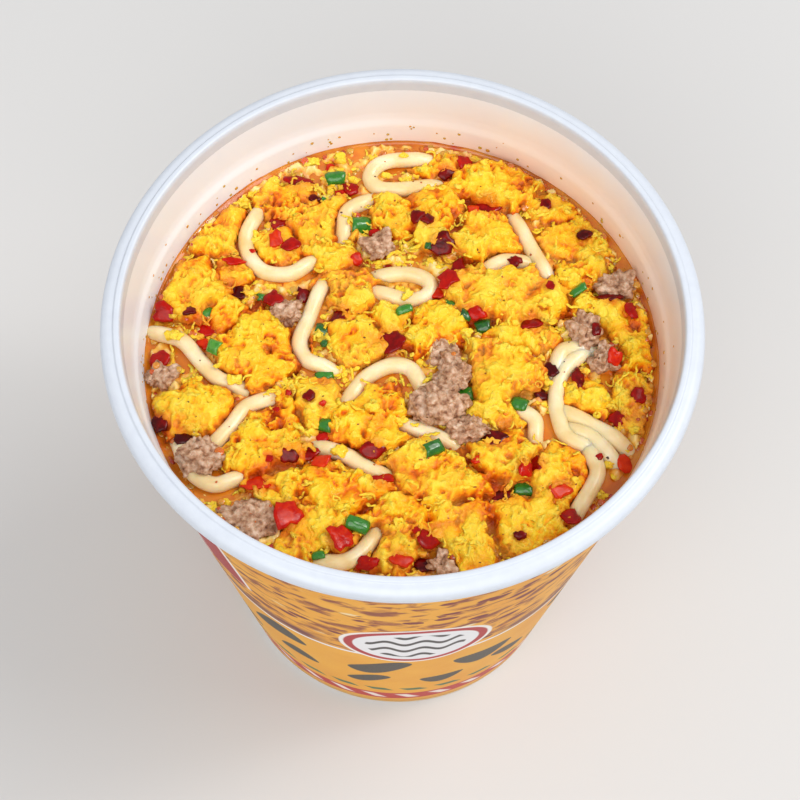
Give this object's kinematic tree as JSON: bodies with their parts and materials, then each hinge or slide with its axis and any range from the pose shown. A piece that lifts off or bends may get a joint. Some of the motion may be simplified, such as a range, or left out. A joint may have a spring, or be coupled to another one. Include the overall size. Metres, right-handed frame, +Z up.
{
  "type": "instant noodle cup",
  "caption": "Opened instant noodle cup filled to just under its rim with noodles, broth, scrambled egg, minced pork, chili and spring onion.",
  "frame": {"origin": "middle of the base, on the plane of the foot ring", "axes": "+Z up along the cup's axis, -Y towards the printed front of the sleeve, X across"},
  "size_m": [0.11, 0.11, 0.12],
  "materials": {
    "cup": "satin",
    "label": "satin",
    "broth": "gloss",
    "noodles": "satin",
    "egg": "satin",
    "pork": "satin"
  },
  "bodies": {
    "root": {"cup": "cup", "label": "label", "broth": "broth", "noodles": "noodles", "egg_01": "egg", "egg_02": "egg", "egg_03": "egg", "egg_04": "egg", "egg_05": "egg", "egg_06": "egg", "egg_07": "egg", "egg_08": "egg", "egg_09": "egg", "egg_10": "egg", "egg_11": "egg", "egg_12": "egg", "egg_13": "egg", "egg_14": "egg", "egg_15": "egg", "egg_16": "egg", "egg_17": "egg", "egg_18": "egg", "egg_19": "egg", "egg_20": "egg", "egg_21": "egg", "egg_22": "egg", "egg_23": "egg", "egg_24": "egg", "egg_25": "egg", "egg_26": "egg", "egg_27": "egg", "egg_28": "egg", "egg_29": "egg", "egg_30": "egg", "egg_31": "egg", "egg_32": "egg", "egg_33": "egg", "egg_34": "egg", "egg_35": "egg", "egg_36": "egg", "egg_37": "egg", "egg_38": "egg", "egg_39": "egg", "egg_40": "egg", "egg_41": "egg", "egg_42": "egg", "egg_43": "egg", "pork_01": "pork", "pork_02": "pork", "pork_03": "pork", "pork_04": "pork", "pork_05": "pork", "pork_06": "pork", "pork_07": "pork", "pork_08": "pork", "pork_09": "pork", "pork_10": "pork", "pork_11": "pork", "pork_12": "pork", "pork_13": "pork"}
  },
  "joints": []
}
